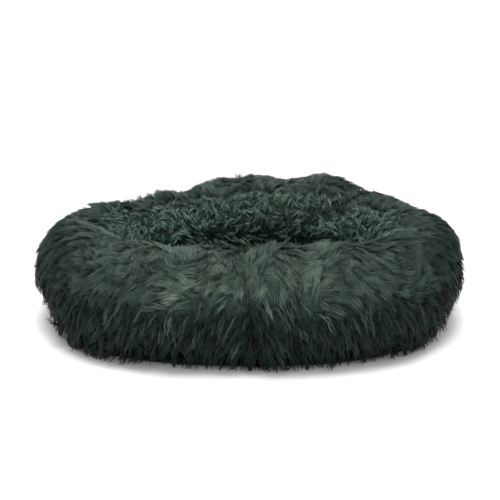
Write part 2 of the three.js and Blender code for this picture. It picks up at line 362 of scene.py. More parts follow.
def stuffed_ring():
    """The bolster under its fur: its middles, its outward axes and the points of its skin."""
    casing = tree_of("bolster_casing")
    centres = centreline(casing)
    across = section_axes(centres)
    rays, reach = measured_ring(casing, centres, across)
    grid = centres[:, None, :] + rays * (reach + RING_START + slump(centres))[:, :, None]
    easing = 14
    below = 1 - smooth(OUTER_SEAM, OUTER_SEAM + easing, DEGREES)
    below = below + smooth(INNER_SEAM - easing, INNER_SEAM, DEGREES)
    seam = 0.8 * hump(centres[:, 0], 0, 0.4 * SEAM_REACH)
    held = np.maximum(np.clip(below, 0, 1)[None, :], seam[:, None])
    grid = puffed_grid(grid, grid_faces(STATIONS, SECTIONS), held.ravel(), RING_SWELL)
    return centres, across, grid


def dome_faces(rings):
    """Faces of a dome of rings, its edge first, and the point at its middle last."""
    inner = rings - 1
    middle = STATIONS * rings
    crown = [(inner + i * rings, inner + (i + 1) % STATIONS * rings, middle) for i in range(STATIONS)]
    return grid_faces(STATIONS, rings, True, False) + crown


def pad_faces(closed):
    """The pad's dome and a side from its edge down to its foot, which may be closed underneath."""
    faces = dome_faces(PAD_RINGS)
    foot = STATIONS * PAD_RINGS + 1
    for i in range(STATIONS):
        after = (i + 1) % STATIONS
        faces.append((after * PAD_RINGS, i * PAD_RINGS, foot + i, foot + after))
    if closed:
        faces.append([foot + i for i in reversed(range(STATIONS))])
    return faces


def stuffed_pad():
    """The pad under its fur, [turn, ring], from its edge's seam to its middle, and the foot below it."""
    casing = tree_of("pad_casing_top")
    inside = 1 * MM  # how far inside the casing the foot is
    foot_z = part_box("pad_casing_top")[0][2] + inside
    shares = 1 - (np.arange(PAD_RINGS) / PAD_RINGS) ** 1.3
    lumps = waves(6, 7, 2, 7)
    ways = np.array([turn_way(turn) for turn in TURNS])
    seam = hem_line("pad_seam_tape", ways, False)
    grid = np.zeros((STATIONS, PAD_RINGS, 3))
    foot = np.zeros((STATIONS, 3))
    for i, (turn, way) in enumerate(zip(TURNS, ways)):
        edge = np.linalg.norm(seam[i, :2])
        foot[i] = way * (reach_at(casing, turn, foot_z) - inside) + UP * foot_z
        for k, share in enumerate(shares):
            at = way * edge * share
            bump = 1.5 * MM * lumps(np.array([turn]), np.array([3 * share]))[0] * share
            sewn = seam[i, 2] - SEAM_SLOPE * edge * (1 - share)
            grid[i, k] = at + UP * max(sewn, top_at(casing, at[0], at[1]) + PAD_START + bump)
    edge_held = np.tile(smooth(0.9, 1.0, shares), STATIONS)
    held = np.concatenate([edge_held, [0], np.ones(STATIONS)])
    middle = grid[:, -1].mean(0)
    return puffed_grid(grid, pad_faces(True), held, PAD_SWELL, [middle, *foot]), foot


DEGREES = section_degrees()
CENTRES, ACROSS, RING = stuffed_ring()
PAD, PAD_FEET = stuffed_pad()


# ---- materials


class Shader:
    """A short way to write a node material."""

    NAMES = {"color": "Base Color", "rough": "Roughness", "metal": "Metallic", "normal": "Normal",
             "sheen": "Sheen Weight", "sheen_rough": "Sheen Roughness", "sheen_tint": "Sheen Tint",
             "specular": "Specular IOR Level"}

    def __init__(self, name):
        self.material = bpy.data.materials.new(name)
        self.material.use_nodes = True
        self.tree = self.material.node_tree
        self.bsdf = self.tree.nodes["Principled BSDF"]

    def node(self, kind, inputs=None, **settings):
        node = self.tree.nodes.new("ShaderNode" + kind)
        for key, value in settings.items():
            setattr(node, key, value)
        for key, value in (inputs or {}).items():
            self.put(node.inputs[key], value)
        return node

    def put(self, socket, value):
        if isinstance(value, bpy.types.NodeSocket):
            self.tree.links.new(value, socket)
        else:
            socket.default_value = value

    def set(self, **values):
        for key, value in values.items():
            self.put(self.bsdf.inputs[self.NAMES[key]], value)
        return self.material

    def place(self):
        return self.node("TexCoord").outputs["Object"]

    def axes(self, vector):
        return self.node("SeparateXYZ", {0: vector}).outputs

    def share(self, value, low, high, top=1.0):
        """0 where a value is low, and top where it is high."""
        inputs = {"Value": value, "From Min": low, "From Max": high, "To Max": top}
        return self.node("MapRange", inputs).outputs[0]

    def ramp(self, factor, *stops):
        node = self.node("ValToRGB", {0: factor})
        elements = node.color_ramp.elements
        while len(elements) < len(stops):
            elements.new(0.5)
        for element, (place, color) in zip(elements, stops):
            element.position = place
            element.color = (*color, 1)
        return node.outputs[0]

    def math(self, operation, *values):
        return self.node("Math", dict(enumerate(values)), operation=operation).outputs[0]

    def mix(self, factor, a, b, blend="MIX"):
        node = self.node("Mix", {0: factor, 6: a, 7: b}, data_type="RGBA", blend_type=blend)
        return node.outputs[2]

    def noise(self, vector, scale, detail=3.0, rough=0.5):
        inputs = {"Scale": scale, "Detail": detail, "Roughness": rough, "Vector": vector}
        return self.node("TexNoise", inputs).outputs[0]

    def blend(self, a, share, b):
        """A share of a, and b for the rest."""
        return self.math("MULTIPLY_ADD", a, share, self.math("MULTIPLY", b, 1 - share))

    def bands(self, value, pitch):
        """Waves from 0 to 1, one every pitch metres of a value."""
        wave = self.math("SINE", self.math("MULTIPLY", value, TAU / pitch))
        return self.math("MULTIPLY_ADD", wave, 0.5, 0.5)

    def bump(self, height, distance):
        return self.node("Bump", {"Height": height, "Distance": distance, "Strength": 1.0}).outputs[0]


STRIPS = 96  # tones of fur side by side across the fur's UV map
FUR_TONES = [
    (0.00, (0.0020, 0.0075, 0.0078)),
    (0.25, (0.0075, 0.0215, 0.0205)),
    (0.50, (0.0350, 0.0620, 0.0545)),
    (0.75, (0.1050, 0.1480, 0.1200)),
    (1.00, (0.2400, 0.3000, 0.2350)),
]


def fur_material():
    """Colour by the fur's own UV map: tone and streaks across it, and painted shade from root to tip along
    each half of it.

    The upper half is for the curls inside, which are greener.
    """
    s = Shader("fur_pile")
    across, up, _ = s.axes(s.node("UVMap", uv_map="OFBake").outputs[0])
    inside = s.math("GREATER_THAN", up, 0.5)
    along = s.math("FRACT", s.math("MULTIPLY", up, 2.0))
    streaks = s.node("CombineXYZ", {0: s.math("MULTIPLY", across, STRIPS * 3.0), 1: along}).outputs[0]
    streak = s.math("SUBTRACT", s.noise(streaks, 1.0, 2.0, 0.6), 0.5)
    color = s.ramp(s.math("ADD", across, s.math("MULTIPLY", streak, 0.4)), *FUR_TONES)
    pale = s.share(across, 0.5, 0.8, 0.6)  # pale hairs get less painted shade at the root
    lifted = s.math("MULTIPLY_ADD", s.math("SUBTRACT", 1.0, along), pale, along)
    # painted shade: each hair is darkened towards its root, deep in the pile, and brightened towards its tip
    shade = s.ramp(lifted, (0.0, (0.13, 0.19, 0.20)), (0.5, (0.62, 0.68, 0.69)), (1.0, (1.27, 1.25, 1.22)))
    color = s.mix(1.0, color, shade, "MULTIPLY")
    patch = s.node("CombineXYZ", {0: s.math("MULTIPLY", across, STRIPS * 0.5), 1: 0.0}).outputs[0]
    tint = s.ramp(s.noise(patch, 1.0, 1.0), (0.35, (0.92, 1.0, 1.06)), (0.65, (1.06, 1.0, 0.94)))
    color = s.mix(1.0, color, tint, "MULTIPLY")
    color = s.mix(inside, color, s.mix(1.0, color, (0.84, 1.0, 1.01, 1), "MULTIPLY"))
    return s.set(color=color, rough=0.5, specular=0.16, sheen=0.12, sheen_rough=0.4,
                 sheen_tint=(0.45, 0.62, 0.52, 1))


def backing_material():
    """Backing of the fur under its short dense undercoat, with painted shade: near black down the sides, and
    lighter on top as painted light.
    """
    s = Shader("fur_backing")
    where = s.place()
    hairs = s.node("VectorMath", {0: where, 1: (1100.0, 1100.0, 150.0)}, operation="MULTIPLY").outputs[0]
    coat = s.blend(s.noise(where, 140.0, 2.0), 0.4, s.noise(hairs, 1.0, 3.0, 0.65))
    # painted shade: the undercoat is near black low down, where the gaps between tufts lie in shade
    low = s.ramp(coat, (0.35, (0.002, 0.0045, 0.0042)), (0.68, (0.022, 0.044, 0.039)))
    high = s.ramp(coat, (0.35, (0.022, 0.034, 0.030)), (0.68, (0.095, 0.134, 0.110)))
    # painted light: the lighter colour takes over with height, on the lit top
    crest = s.share(s.axes(where)[2], 0.09, 0.145)
    return s.set(color=s.mix(crest, low, high), rough=0.95, specular=0.08, normal=s.bump(coat, 1.2 * MM))


def casing_material():
    """Off-white non-woven cloth, pressed in a fine pattern and crumpled."""
    s = Shader("casing_cloth")
    where = s.place()
    crumple = s.noise(where, 55.0, 4.0, 0.6)
    dimples = s.node("TexVoronoi", {"Vector": where, "Scale": 520.0}).outputs[0]
    color = s.ramp(crumple, (0.3, (0.60, 0.585, 0.55)), (0.7, (0.78, 0.765, 0.73)))
    rise = s.math("MULTIPLY_ADD", dimples, 0.15, crumple)
    return s.set(color=color, rough=0.9, specular=0.15, sheen=0.1, normal=s.bump(rise, 2.5 * MM))


def fibre_material():
    """Loose white polyester fibre: matted strands and soft clumps."""
    s = Shader("loose_fibre")
    mat = s.blend(s.noise(s.place(), 260.0, 6.0, 0.7), 0.5, s.noise(s.place(), 40.0, 2.0))
    color = s.ramp(mat, (0.3, (0.68, 0.67, 0.64)), (0.6, (0.88, 0.87, 0.84)))
    return s.set(color=color, rough=0.95, specular=0.1, sheen=0.35, sheen_rough=0.6,
                 normal=s.bump(mat, 3 * MM))


def woven_material(name, dark, light, pitch, rough):
    """A plain weave: threads over and under, with uneven yarn."""
    s = Shader(name)
    where = s.place()
    warp, weft = (s.bands(s.axes(where)[axis], pitch) for axis in (0, 1))
    weave = s.math("MULTIPLY", s.math("ADD", warp, weft), 0.5)
    cloth = s.blend(s.noise(where, 0.35 / pitch, 3.0), 0.6, weave)
    return s.set(color=s.ramp(cloth, (0.25, dark), (0.75, light)), rough=rough, specular=0.3, sheen=0.15,
                 sheen_rough=0.4, normal=s.bump(cloth, 0.25 * pitch))


def twill_material(name, dark, light, pitch):
    """Herringbone tape: diagonals that turn over down its middle."""
    s = Shader(name)
    where = s.place()
    x, y, _ = s.axes(where)
    rib = s.bands(s.math("ADD", x, s.math("ABSOLUTE", y)), pitch)
    cloth = s.blend(s.noise(where, 1500.0, 2.0), 0.4, rib)
    return s.set(color=s.ramp(cloth, (0.2, dark), (0.8, light)), rough=0.8, specular=0.25, sheen=0.1,
                 normal=s.bump(cloth, 0.15 * MM))


def rubber_material():
    """Non-slip dots: matt rubbery print, faintly speckled."""
    s = Shader("dot_print")
    speck = s.noise(s.place(), 1200.0, 2.0)
    color = s.ramp(speck, (0.3, (0.020, 0.022, 0.022)), (0.7, (0.036, 0.039, 0.038)))
    return s.set(color=color, rough=0.55, specular=0.4, normal=s.bump(speck, 0.05 * MM))


def nylon_material():
    """Zip coil: slightly glossy monofilament."""
    s = Shader("nylon_coil")
    grain = s.noise(s.place(), 1400.0, 2.0)
    color = s.ramp(grain, (0.3, (0.010, 0.012, 0.012)), (0.7, (0.020, 0.023, 0.023)))
    return s.set(color=color, rough=s.math("MULTIPLY_ADD", grain, 0.15, 0.3), specular=0.5)


def zinc_material():
    """Cast zinc with a dark plated finish, rubbed paler where it wears."""
    s = Shader("plated_zinc")
    wear = s.noise(s.place(), 900.0, 4.0, 0.6)
    pits = s.noise(s.place(), 2600.0, 2.0)
    color = s.ramp(wear, (0.3, (0.125, 0.129, 0.133)), (0.75, (0.18, 0.185, 0.19)))
    rough = s.math("MULTIPLY_ADD", pits, 0.25, 0.2)
    return s.set(color=color, rough=rough, metal=1.0, normal=s.bump(pits, 0.03 * MM))


def satin_material():
    """Blank satin ribbon: fine floats along it and a soft gloss."""
    s = Shader("label_satin")
    where = s.place()
    satin = s.blend(s.bands(s.axes(where)[0], 0.35 * MM), 0.5, s.noise(where, 900.0, 2.0))
    color = s.ramp(satin, (0.2, (0.62, 0.60, 0.56)), (0.8, (0.74, 0.72, 0.68)))
    return s.set(color=color, rough=0.42, specular=0.5, sheen=0.2, normal=s.bump(satin, 0.04 * MM))


FUR = fur_material()
BACKING = backing_material()
CASING = casing_material()
FIBRE = fibre_material()
BASE_CLOTH = woven_material("base_weave", (0.010, 0.012, 0.012), (0.030, 0.034, 0.034), 0.7 * MM, 0.62)
BINDING = woven_material("binding_weave", (0.007, 0.009, 0.009), (0.022, 0.025, 0.025), 0.5 * MM, 0.75)
TAPE = twill_material("tape_twill", (0.006, 0.007, 0.008), (0.020, 0.022, 0.023), 1.0 * MM)
THREAD = twill_material("stitch_thread", (0.016, 0.019, 0.018), (0.045, 0.050, 0.048), 0.4 * MM)
RUBBER = rubber_material()
NYLON = nylon_material()
ZINC = zinc_material()
SATIN = satin_material()


# ---- the pile

# Each zone's fur, lengths in mm. A tuft's guide leaves the cloth with a share of lift and lies within loft
# of it. Locks branch from the guide, and strands from the locks, each starting within spread and drawn
# together by gather. No lock is paler than its tuft by more than lock_tone times pale.
FUR_TERMS = "spacing length lift loft sag half_width lock_tone pale strand_tone".split()
BRANCH_TERMS = "number spread gather trim wave turns rise points".split()
ZONES = {
    zone: {**dict(zip(FUR_TERMS, fur)), "locks": dict(zip(BRANCH_TERMS, locks)),
           "strands": dict(zip(BRANCH_TERMS, strands))}
    for zone, fur, locks, strands in (
        ("wall", (12.2, 40, 0.34, 12.5, 0.25, 0.62, 0.2, 0.7, 0.06),
         (4.0, 6.5, 0.15, 0.4, 2.2, 1.9, 5.0, 9), (6.4, 1.7, 0.6, 0.25, 0.45, 2.0, 0.6, 5)),
        ("top", (10.0, 28, 0.38, 13, 0.0, 0.44, 0.05, 1.6, 0.07),
         (5.0, 7.5, 0.0, 0.4, 1.2, 0.8, 2.0, 7), (9.5, 5.0, 0.05, 0.45, 0.6, 1.1, 1.5, 4)),
        ("inner", (7.0, 21, 0.5, 12.5, 0.12, 0.6, 0.18, 1.6, 0.13),
         (4.8, 4.8, -0.1, 0.3, 2.2, 2.3, 2.4, 9), (4.0, 1.4, 0.35, 0.25, 0.4, 1.6, 0.5, 5)),
        ("pad", (7.4, 25, 0.42, 12, 0.0, 0.6, 0.12, 1.6, 0.1),
         (4.6, 6.0, -0.1, 0.3, 2.0, 1.4, 2.0, 7), (5.0, 2.2, 0.2, 0.3, 0.4, 1.5, 0.8, 5)),
    )
}
SECTORS = ["right_back", "back_right", "back_left", "left_back",
           "left_front", "front_left", "front_right", "right_front"]
FLOOR_GAP = 1.2 * MM  # strands stay this far above the floor
SCATTER = 36000  # points a square metre that tufts are picked from
GUIDE_GAP = 2.5 * MM  # guides stay at least this far off the cloth
STRAY = 60 * MM  # a guide that is further than this from the form isn't drawn in to it
ALONG_X = np.array([1.0, 0, 0])


def poisson(points, spacing):
    """Indexes of points, in order, that are at least their spacing apart."""
    tree = kdtree.KDTree(len(points))
    for i, p in enumerate(points):
        tree.insert(p, i)
    tree.balance()
    taken = np.zeros(len(points), bool)
    closed = np.zeros(len(points), bool)
    for i, p in enumerate(points):
        if closed[i]:
            continue
        taken[i] = True
        for _, j, _ in tree.find_range(p, spacing[i]):
            closed[j] = True
    return np.nonzero(taken)[0]


def scatter(grid, columns_close, seed, allowed):
    """Random points on a quad grid, even by area: positions, normals and (row, column) places."""
    r = np.random.default_rng(seed)
    rows, columns = grid.shape[:2]
    down = np.roll(grid, -1, 0)
    right = np.roll(grid, -1, 1)
    cross = np.cross(down - grid, right - grid)
    area = np.linalg.norm(cross, axis=2) * allowed
    if not columns_close:
        area[:, -1] = 0
    count = int(area.sum() * SCATTER)
    pick = r.choice(rows * columns, count, p=(area / area.sum()).ravel())
    i, j = np.divmod(pick, columns)
    u, v = r.uniform(size=(2, count, 1))
    i1, j1 = (i + 1) % rows, (j + 1) % columns
    spot = (grid[i, j] * (1 - u) * (1 - v) + grid[i1, j] * u * (1 - v)
            + grid[i, j1] * (1 - u) * v + grid[i1, j1] * u * v)
    return spot, unit(cross[i, j]), np.stack([i + u[:, 0], j + v[:, 0]], 1)


def guides(form, spot, normal, comb, length, lift, loft, sag):
    """Tuft centrelines: out of the cloth, over along comb, then sagging, held within loft of the form."""
    points = 8
    path = np.zeros((len(spot), points, 3))
    path[:, 0] = spot
    step = (length / (points - 1))[:, None]
    heading = unit(normal * lift[:, None] + comb * (1 - lift[:, None]))
    for k in range(1, points):
        bend = 0.35 + 0.3 * k / points
        heading = unit(heading * (1 - bend) + comb * bend - UP * (sag * k / points)[:, None])
        ahead = path[:, k - 1] + heading * step
        top = loft * (k / (points - 1)) ** 0.7
        for c, point in enumerate(ahead):
            near, out, _, far = form.find_nearest(Vector(point))
            out = np.array(out)
            height = float((point - np.array(near)) @ out)
            low = GUIDE_GAP + 0.25 * top[c]
            if height < low:
                ahead[c] += out * (low - height)
            elif far < STRAY and height > top[c]:
                ahead[c] -= out * (height - top[c]) * 0.6
        ahead[:, 2] = np.maximum(ahead[:, 2], FLOOR_GAP)
        path[:, k] = ahead
        heading = unit(path[:, k] - path[:, k - 1])
    return path


def along_guides(path, which, t):
    """Points of each strand's own guide at shares t of its length, [strand, point, 3]."""
    last = path.shape[1] - 1
    place = np.clip(t * last, 0, last - 1e-6)
    k = place.astype(int)
    f = (place - k)[..., None]
    rows = which[:, None]
    before, after = np.maximum(k - 1, 0), np.minimum(k + 2, last)
    p0, p1, p2, p3 = path[rows, before], path[rows, k], path[rows, k + 1], path[rows, after]
    return 0.5 * (2 * p1 + (p2 - p0) * f + (2 * p0 - 5 * p1 + 4 * p2 - p3) * f ** 2
                  + (3 * p1 - p0 - 3 * p2 + p3) * f ** 3)


def strand_axes(path, normal):
    """Unit vectors across each path and away from the cloth, at each of its points."""
    tangent = unit(np.gradient(path, axis=1))
    side = unit(np.cross(tangent, normal[:, None, :]) + 0.02)
    return side, unit(np.cross(side, tangent))


def branch(path, normal, seed, number, spread, gather, trim, wave, turns, rise, points):
    """Finer paths round each guide. Gives the guide of each and its points; lengths are in mm."""
    r = np.random.default_rng(seed)
    counts = np.maximum(2, r.poisson(number, len(path)))
    which = np.repeat(np.arange(len(path)), counts)
    n = len(which)
    share = np.linspace(0, 1, points)[None, :]
    body = along_guides(path, which, share * (1 - trim * r.uniform(0, 1, n) ** 1.5)[:, None])
    out = normal[which]
    e1 = unit(np.cross(out, path[which, -1] - path[which, 0]) + 1e-5)
    e2 = np.cross(out, e1)
    radius = spread * MM * np.sqrt(r.uniform(0, 1, n))[:, None]
    angle = r.uniform(0, TAU, n)[:, None]
    offset = radius * (e1 * np.cos(angle) + e2 * np.sin(angle))
    share = share[..., None]
    body = body + offset[:, None, :] * (1 - gather * share ** 0.8)
    body = body + (out * (rise * MM * r.uniform(-0.3, 1, n))[:, None])[:, None, :] * share
    side, away = strand_axes(body, out)
    phase = r.uniform(0, TAU, n)[:, None, None]
    swing = wave * MM * r.uniform(0.6, 1.4, n)[:, None, None]
    swing = swing * (0.3 + 0.7 * share) * np.minimum(1, share * 3)
    winding = TAU * turns * r.uniform(0.7, 1.3, n)[:, None, None] * share + phase
    body = body + side * swing * (np.sin(winding) - np.sin(phase) * (1 - share))
    body = body + away * swing * 0.7 * (np.cos(winding) - np.cos(phase) * (1 - share))
    body[..., 2] = np.maximum(body[..., 2], FLOOR_GAP)
    return which, body


class Pile:
    """Strands gathered from several zones, written out as meshes of tapering three-sided hairs."""

    def __init__(self):
        self.parts = {}

    def add(self, name, *strands):
        """Strands: paths, unit vectors across and off the cloth, half widths, tones, and 1 if inside."""
        self.parts.setdefault(name, []).append(strands)

    def build(self):
        for name, chunks in sorted(self.parts.items()):
            dress(strands_object(name, *[np.concatenate(column) for column in zip(*chunks)]), "fur")


HAIR_SIDES = ((0.0, 0.5), (0.5, 1.0), (1.0, 0.0))  # how far across its UV strip each side of a hair runs


def hair_pattern(along):
    """One hair's faces: their corners, as vertex numbers and as places on its UV strip, and their sizes."""
    rings = len(along) - 1
    corners, places, sizes = [], [], []
    for k in range(rings):
        for a, (ua, ub) in enumerate(HAIR_SIDES):
            b = (a + 1) % 3
            corners += [k * 3 + a, k * 3 + b]
            places += [(ua, along[k]), (ub, along[k])]
            if k < rings - 1:
                corners += [(k + 1) * 3 + b, (k + 1) * 3 + a]
                places += [(ub, along[k + 1]), (ua, along[k + 1])]
                sizes.append(4)
            else:
                corners.append(rings * 3)
                places.append((0.5 * (ua + ub), 1.0))
                sizes.append(3)
    return corners + [0, 2, 1], places + [(0.0, 0.0), (1.0, 0.0), (0.5, 0.0)], sizes + [3]


def hair_points(path, side, out, width):
    """The vertices of each hair, [strand, vertex, 3]: ridged three-sided rings that taper, and a tip."""
    strands, points = path.shape[:2]
    rings = points - 1
    t = np.arange(rings) / rings
    taper = (1 - t ** 2.2) * (0.72 + 0.28 * np.sin(np.pi * np.minimum(1, t * 1.6)))
    w = width[:, None, None] * taper[None, :, None]
    ring, side, out = path[:, :rings], side[:, :rings], out[:, :rings]
    corners = np.stack([ring - side * w - out * w * 0.25, ring + out * w * 0.55,
                        ring + side * w - out * w * 0.25], 2)
    return np.concatenate([corners.reshape(strands, rings * 3, 3), path[:, -1:]], 1)


def strands_object(name, path, side, out, width, tone, inside):
    """One mesh of closed, tapering hairs with smooth shading, each with its tone's strip of the UV map."""
    strands, points = path.shape[:2]
    verts = hair_points(path, side, out, width)
    corners, places, sizes = hair_pattern(np.arange(points) / (points - 1))
    loops = (np.array(corners)[None, :] + (np.arange(strands) * verts.shape[1])[:, None]).ravel()
    sizes = np.tile(sizes, strands)
    starts = np.concatenate([[0], np.cumsum(sizes)[:-1]])
    strip = np.clip((tone * STRIPS).astype(int), 0, STRIPS - 1)
    places = np.array(places)
    u = (strip[:, None] + 0.12 + 0.76 * places[None, :, 0]) / STRIPS
    v = 0.5 * (places[None, :, 1] * 0.92 + 0.04 + inside[:, None])
    mesh = bpy.data.meshes.new(name)
    mesh.vertices.add(verts.shape[0] * verts.shape[1])
    mesh.vertices.foreach_set("co", verts.astype(np.float32).ravel())
    mesh.loops.add(len(loops))
    mesh.loops.foreach_set("vertex_index", loops.astype(np.int32))
    mesh.polygons.add(len(sizes))
    mesh.polygons.foreach_set("loop_start", starts.astype(np.int32))
    mesh.polygons.foreach_set("use_smooth", np.ones(len(sizes), bool))
    layer = mesh.uv_layers.new(name="OFBake")
    layer.uv.foreach_set("vector", np.stack([u, v], 2).astype(np.float32).ravel())
    mesh.materials.append(FUR)
    mesh.update(calc_edges=True)
    return linked(bpy.data.objects.new(name, mesh))


def grow(pile, form, spot, normal, comb, tone, weights, seed, hang=0.0, sectors=SECTORS):
    """Grows tufts at spots. Each zone's share of a tuft is its weight, and the largest names its zone."""
    r = np.random.default_rng(seed)
    count = len(spot)

    def mixed(key):
        return sum(weights[zone] * ZONES[zone][key] for zone in weights)

    length = mixed("length") * MM * r.uniform(0.8, 1.15, count)
    length = np.minimum(length, 9 * MM + 1.05 * spot[:, 2])  # short near the floor
    loft = mixed("loft") * MM * r.uniform(0.75, 1.12, count) + hang
    path = guides(form, spot, normal, comb, length, mixed("lift"), loft, mixed("sag"))
    kind = np.argmax([weights[zone] for zone in weights], axis=0)
    for k, zone in enumerate(weights):
        rows = np.nonzero(kind == k)[0]
        fur = ZONES[zone]
        lock_tuft, locks = branch(path[rows], normal[rows], seed + 10 * k + 1, **fur["locks"])
        lock_of, body = branch(locks, normal[rows][lock_tuft], seed + 10 * k + 2, **fur["strands"])
        tuft = rows[lock_tuft[lock_of]]
        n = len(tuft)
        chance = r.normal(0, 1, len(lock_tuft))[lock_of]
        chance = np.where(chance > 0, np.minimum(chance, fur["pale"]), 1.9 * chance)
        shade = tone[tuft] + fur["lock_tone"] * chance + r.normal(0, fur["strand_tone"], n)
        side, out = strand_axes(body, normal[tuft])
        roll = r.normal(0, 0.45, n)[:, None, None]
        side, out = side * np.cos(roll) + out * np.sin(roll), out * np.cos(roll) - side * np.sin(roll)
        width = fur["half_width"] * MM * r.uniform(0.7, 1.25, n)
        turn = np.arctan2(spot[tuft, 1], spot[tuft, 0]) % TAU
        sector = (turn / TAU * len(sectors)).astype(int)
        for number, label in enumerate(sectors):
            part = sector == number
            inside = np.full(part.sum(), float(zone in ("inner", "pad")))
            pile.add(f"pile_{zone}_{label}", body[part], side[part], out[part], width[part],
                     np.clip(shade[part], 0.01, 0.99), inside)


def lying(way, normal):
    """way with its part along the normal taken out, as unit vectors."""
    return unit(way - normal * (way * normal).sum(1)[:, None])


swirl = waves(11, 8, 6, 17)
ripple = waves(12, 10, 14, 36)
parting = waves(13, 6, 5, 14)
tone_field = waves(14, 10, 8, 30)
FRONT = (279, 22)  # where the front is fullest, and how far round it spreads, in degrees of plan


def at_ends(turn):
    """1 at the bed's two ends, falling away round its sides."""
    return np.abs(np.cos(turn)) ** 4


def ring_zones(turn, degrees):
    """Shares of wall, top and inner fur at a place on the bolster, with wavering borders."""
    angle = np.radians(degrees)
    edge = 26 + 9 * parting(turn, angle)
    wall = 1 - smooth(edge - 9, edge + 9, degrees)
    inner = smooth(113, 131, degrees + 8 * ripple(turn, angle) + 14 * np.cos(turn) ** 2)
    return {"wall": wall, "top": 1 - np.maximum(wall, inner), "inner": inner}


def wall_comb(x, degrees, downhill, round_way, waver):
    """Down, and away from the middle of the bed and round its ends."""
    lean = (0.3 + 0.5 * hump(x, 0, 0.05)) * np.tanh(x / 0.02)
    lean = lean + 0.45 * np.sign(x) * smooth(0.08, 0.34, np.abs(x))
    comb = downhill + ALONG_X * lean[:, None] - UP * (0.5 * smooth(-10, -45, degrees))[:, None]
    return comb + round_way * (0.22 * waver)[:, None]


def top_comb(x, swing, downhill):
    """Swirls, on the whole downhill."""
    away = ALONG_X * np.tanh(x / 0.1)[:, None]
    return away * np.cos(swing)[:, None] + downhill * (0.35 + 0.9 * np.sin(swing))[:, None]


def inner_comb(spin, degrees, downhill, round_way):
    """Curls every way but mostly up, save the lowest, which fall over the seam."""
    low = 1.4 * smooth(168, 190, degrees)[:, None]
    return downhill * (low - np.cos(spin)[:, None]) + round_way * np.sin(spin)[:, None]


def ring_combs(spot, normal, turn, degrees, zones, r):
    """Which way each of the bolster's tufts lies, and the few that are ruffled up at the back left."""
    count = len(spot)
    angle = np.radians(degrees)
    x = spot[:, 0]
    outward = ACROSS[np.round(turn / TAU * STATIONS).astype(int) % STATIONS]
    round_way = unit(np.cross(UP, outward))
    downhill = unit(np.cross(round_way, normal))
    downhill *= np.where((downhill * outward).sum(1) - downhill[:, 2] < 0, -1, 1)[:, None]
    waver = ripple(turn, angle)
    swing = 1.5 * swirl(turn, angle) + 0.7 * waver
    combs = {"wall": wall_comb(x, degrees, downhill, round_way, waver),
             "top": top_comb(x, swing, downhill),
             "inner": inner_comb(r.normal(0, 1.0, count), degrees, downhill, round_way)}
    comb = unit(sum(lying(way, normal) * zones[zone][:, None] for zone, way in combs.items()))
    uneven = 0.14 * zones["wall"] + 0.34 * zones["top"] + 0.25 * zones["inner"]
    comb = lying(comb + r.normal(0, 1, (count, 3)) * uneven[:, None], normal)
    foot = smooth(-28, -52, degrees)[:, None]  # the fringe at the foot hangs to the floor
    splay = (0.45 + 0.4 * hump(np.degrees(turn), *FRONT)) * (1 - 1.1 * at_ends(turn))
    splay = splay * r.uniform(0.4, 1.3, count)
    comb = unit(comb * (1 - foot) + unit(outward * splay[:, None] - UP) * foot)
    ruffled = hump(np.degrees(turn), 140, 26) * hump(degrees, 75, 26) * (r.uniform(0, 1, count) < 0.3)
    return unit(comb + (normal + 0.5 * UP) * ruffled[:, None]), ruffled


def ring_tones(spot, turn, degrees, zones, r):
    """How light each of the bolster's tufts is: painted shade makes the walls darker than the top, most low
    down and on the right, painted light lifts the inside low in the well, and tufts are darker towards the
    ends and at the back.
    """
    wall = zones["wall"]
    x = spot[:, 0]
    reach = np.abs(x)
    high = smooth(0.0, 0.15, spot[:, 2])
    ends_and_painted_right_shade = smooth(0.12, 0.30, reach) + smooth(0.04, 0.24, x)
    ends = smooth(0.09, 0.24, reach)
    back = smooth(-0.05, 0.12, spot[:, 1])
    # painted light: the inside's fur is lightened low in the well, where the pile's own shade falls, least
    # at the lowest curls
    deep = smooth(0.13, 0.07, spot[:, 2]) * (1 - 0.7 * smooth(165, 185, degrees))
    # where the pile parts at the cross seams, a dark line of painted shade and a paler ridge left of it
    parted = 0.15 * hump(x, -12 * MM, 12 * MM) - 0.4 * hump(x, 4 * MM, 9 * MM)
    # painted shade: the wall's fur is darker than the top's, and darker still low down and on the right
    tone = ((0.15 + 0.34 * high - 0.07 * ends_and_painted_right_shade + parted) * wall
            + (0.715 - 0.075 * np.maximum(ends, back)) * zones["top"]
            + (0.77 + 0.15 * deep - 0.06 * ends) * zones["inner"])
    dimmed = 0.28 * smooth(100, 60, degrees) * (1 - wall) + np.where(x < 0, 0.13, 0.08) * wall
    tone = tone - smooth(0.2, 0.32, reach) * dimmed
    return tone + 0.07 * tone_field(turn, np.radians(degrees)) + r.normal(0, 0.05, len(spot))


def ring_hang(turn, degrees, ruffled):
    """How much further than its zone's loft each of the bolster's tufts may hang off the cloth."""
    plan = np.degrees(turn)
    fringe = 15 * MM * smooth(-8, -42, degrees) * (1 - 0.6 * at_ends(turn))
    fringe = fringe * (1 + 0.6 * hump(plan, 214, 15) + 1.2 * hump(plan, *FRONT))
    return fringe - 3 * MM * at_ends(turn) + 7 * MM * ruffled


